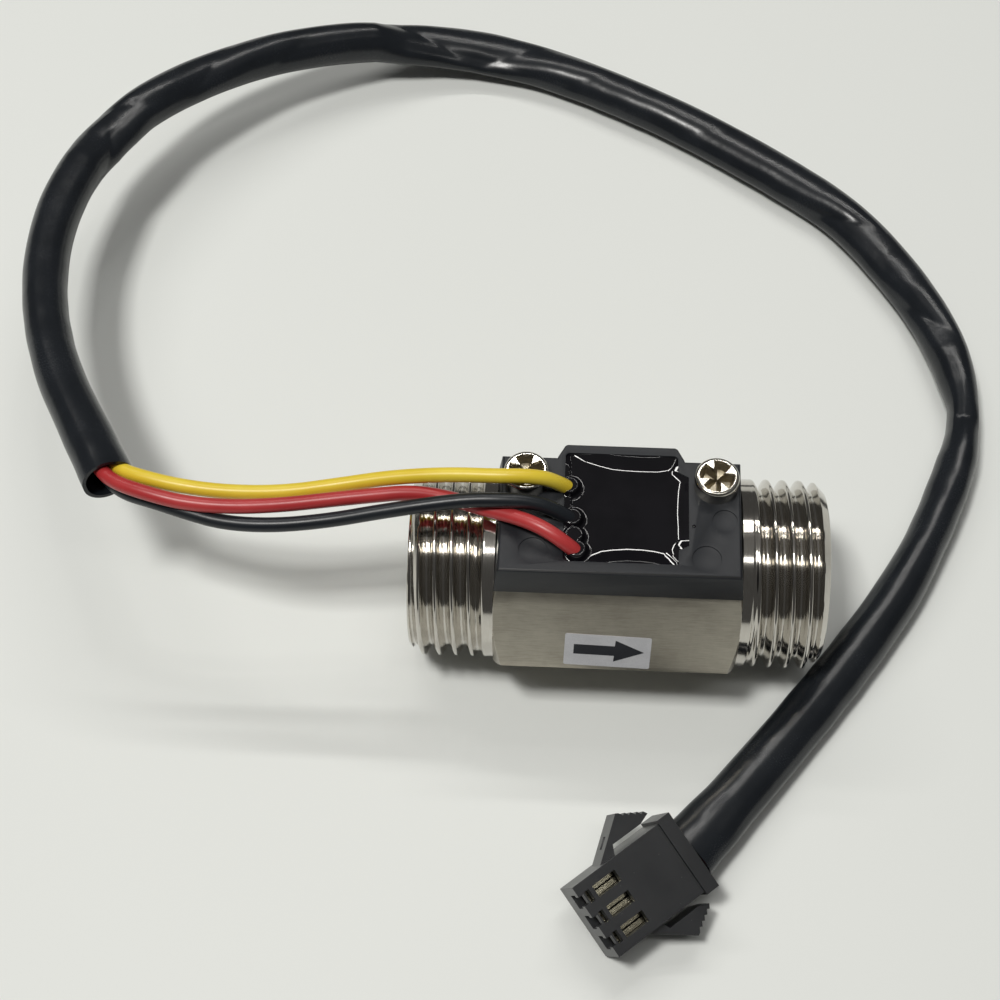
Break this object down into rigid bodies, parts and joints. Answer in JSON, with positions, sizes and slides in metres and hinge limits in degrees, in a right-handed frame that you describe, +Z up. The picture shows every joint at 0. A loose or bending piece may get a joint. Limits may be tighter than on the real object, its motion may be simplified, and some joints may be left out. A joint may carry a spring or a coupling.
{
  "type": "water flow sensor",
  "caption": "Inline metal water flow sensor with threaded ends, an open electronics cap with glossy potting, wires in a black sleeve and a latching plug.",
  "frame": {"origin": "under the middle of the body, on the surface that its bottom flat and the plug stand on", "axes": "+X is the flow direction along the bore, +Y is the rear and +Z is up"},
  "size_m": [0.1176, 0.1294, 0.0265],
  "materials": {
    "stainless_body": "satin hexagon, polished threads",
    "cap_black": "fine satin moulding",
    "potting_resin": "glossy cast resin",
    "screw_steel": "nickel plated",
    "label_paper": "silvery film with a printed arrow",
    "sleeve_vinyl": "soft glossy vinyl",
    "wire_yellow": "soft vinyl",
    "wire_black": "soft vinyl",
    "wire_red": "soft vinyl",
    "plug_black": "satin nylon",
    "tinned_contact": "bright tin",
    "inner_polymer": "white acetal",
    "rotor_polymer": "black acetal",
    "magnet_ferrite": "ferrite",
    "shaft_steel": "ground",
    "bush_carbon": "sintered",
    "spring_steel": "stamped",
    "board_green": "solder resist",
    "chip_black": "moulded package",
    "solder_tin": "solder"
  },
  "bodies": {
    "housing": {"body": "stainless_body", "inlet_spider": "inner_polymer", "outlet_spider": "inner_polymer", "inlet_bush": "bush_carbon", "outlet_bush": "bush_carbon", "chamber_liner": "inner_polymer", "retaining_ring": "spring_steel", "cap": "cap_black", "cap_screw_left": "screw_steel", "cap_screw_right": "screw_steel", "circuit_board": "board_green", "hall_sensor": "chip_black", "pull_up_resistor": "chip_black", "filter_capacitor": "chip_black", "solder_joints": "solder_tin", "potting": "potting_resin", "direction_label": "label_paper", "sleeve": "sleeve_vinyl", "plug_housing": "plug_black", "terminal_yellow": "tinned_contact", "terminal_black": "tinned_contact", "terminal_red": "tinned_contact", "yellow_wire": "wire_yellow", "black_wire": "wire_black", "red_wire": "wire_red"},
    "turbine": {"rotor": "rotor_polymer", "rotor_magnet": "magnet_ferrite", "rotor_shaft": "shaft_steel"}
  },
  "joints": [
    {"name": "turbine_spin", "type": "hinge", "parent": "housing", "child": "turbine", "pos_m": [0, 0, 0.01075], "axis": [1, 0, 0], "continuous": true}
  ]
}
